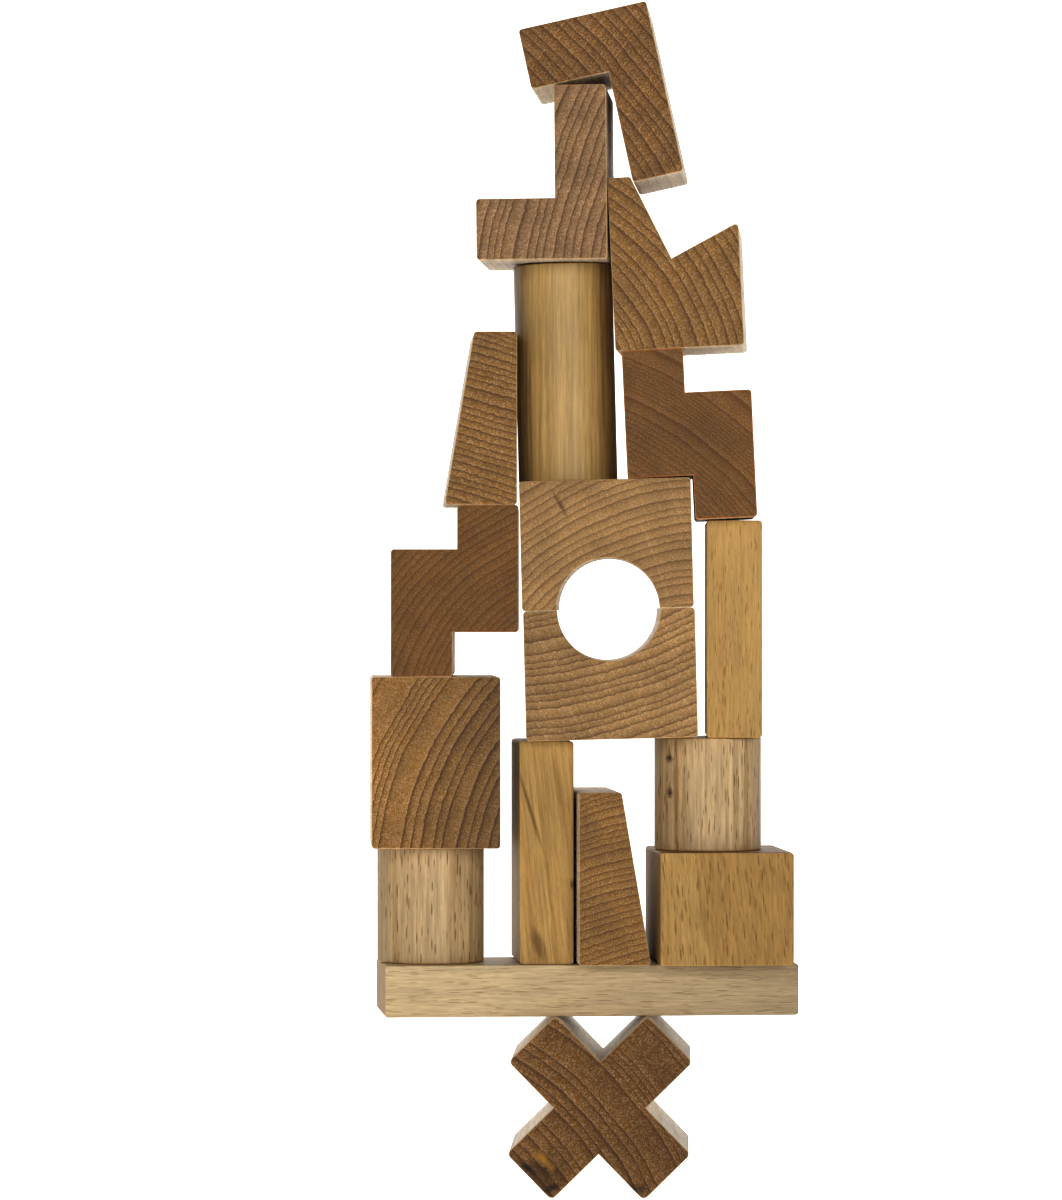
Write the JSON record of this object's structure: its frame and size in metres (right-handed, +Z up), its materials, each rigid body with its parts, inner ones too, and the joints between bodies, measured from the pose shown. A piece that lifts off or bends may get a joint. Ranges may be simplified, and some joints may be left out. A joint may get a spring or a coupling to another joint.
{
  "type": "stacked balancing block tower",
  "caption": "Tower of loose wooden balancing blocks: crosses, arches, steps, wedges, drums and bars stacked on one cross.",
  "frame": {"origin": "on the table, midway between the two corners that the cross stands on, at mid-depth", "axes": "+Z up, +X to the right along the front, +Y from the front to the back, along the grain of the moulded blocks"},
  "size_m": [0.1266, 0.0529, 0.3478],
  "materials": {
    "plank_wood": "sanded",
    "drum_wood": "sanded",
    "strip_wood": "sanded",
    "end_grain_wood": "sanded",
    "dark_end_grain_wood": "sanded",
    "column_wood": "sanded"
  },
  "bodies": {
    "cross_block": {"cross_block": "dark_end_grain_wood"},
    "base_plank": {"base_plank": "plank_wood"},
    "left_drum": {"left_drum": "drum_wood"},
    "big_block": {"big_block": "end_grain_wood"},
    "left_step_block": {"left_step_block": "dark_end_grain_wood"},
    "left_wedge": {"left_wedge": "end_grain_wood"},
    "square_pillar": {"square_pillar": "strip_wood"},
    "low_wedge": {"low_wedge": "end_grain_wood"},
    "cube_block": {"cube_block": "strip_wood"},
    "right_drum": {"right_drum": "drum_wood"},
    "right_bar": {"right_bar": "strip_wood"},
    "lower_arch": {"lower_arch": "end_grain_wood"},
    "upper_arch": {"upper_arch": "end_grain_wood"},
    "tall_column": {"tall_column": "column_wood"},
    "right_step_block": {"right_step_block": "dark_end_grain_wood"},
    "notch_block": {"notch_block": "end_grain_wood"},
    "foot_block": {"foot_block": "end_grain_wood"},
    "hook_block": {"hook_block": "end_grain_wood"}
  },
  "joints": [
    {"name": "base_plank_draw", "type": "slide", "parent": "cross_block", "child": "base_plank", "axis": [0, -1, 0], "range_m": [0, 0.055]},
    {"name": "left_drum_draw", "type": "slide", "parent": "base_plank", "child": "left_drum", "axis": [0, -1, 0], "range_m": [0, 0.055]},
    {"name": "big_block_draw", "type": "slide", "parent": "left_drum", "child": "big_block", "axis": [0, -1, 0], "range_m": [0, 0.055]},
    {"name": "left_step_block_draw", "type": "slide", "parent": "big_block", "child": "left_step_block", "axis": [0, -1, 0], "range_m": [0, 0.055]},
    {"name": "left_wedge_draw", "type": "slide", "parent": "left_step_block", "child": "left_wedge", "axis": [0, -1, 0], "range_m": [0, 0.055]},
    {"name": "square_pillar_draw", "type": "slide", "parent": "base_plank", "child": "square_pillar", "axis": [0.0663, -0.9978, 0], "range_m": [0, 0.055]},
    {"name": "low_wedge_draw", "type": "slide", "parent": "base_plank", "child": "low_wedge", "axis": [0.0663, -0.9978, 0], "range_m": [0, 0.055]},
    {"name": "cube_block_draw", "type": "slide", "parent": "base_plank", "child": "cube_block", "axis": [0, 1, 0], "range_m": [0, 0.055]},
    {"name": "right_drum_draw", "type": "slide", "parent": "cube_block", "child": "right_drum", "axis": [0, 1, 0], "range_m": [0, 0.055]},
    {"name": "right_bar_draw", "type": "slide", "parent": "right_drum", "child": "right_bar", "axis": [0, 1, 0], "range_m": [0, 0.055]},
    {"name": "lower_arch_draw", "type": "slide", "parent": "right_drum", "child": "lower_arch", "axis": [0, 1, 0], "range_m": [0, 0.055]},
    {"name": "upper_arch_draw", "type": "slide", "parent": "lower_arch", "child": "upper_arch", "axis": [0, 1, 0], "range_m": [0, 0.055]},
    {"name": "tall_column_draw", "type": "slide", "parent": "upper_arch", "child": "tall_column", "axis": [0.0593, 0.9982, 0.0015], "range_m": [0, 0.055]},
    {"name": "right_step_block_draw", "type": "slide", "parent": "upper_arch", "child": "right_step_block", "axis": [0.0593, 0.9982, 0.0015], "range_m": [0, 0.055]},
    {"name": "notch_block_draw", "type": "slide", "parent": "right_step_block", "child": "notch_block", "axis": [0.0593, 0.9982, 0.0017], "range_m": [0, 0.055]},
    {"name": "foot_block_draw", "type": "slide", "parent": "tall_column", "child": "foot_block", "axis": [0.0593, 0.9982, 0], "range_m": [0, 0.055]},
    {"name": "hook_block_lift", "type": "slide", "parent": "foot_block", "child": "hook_block", "axis": [0, 0, 1], "range_m": [0, 0.055]}
  ]
}
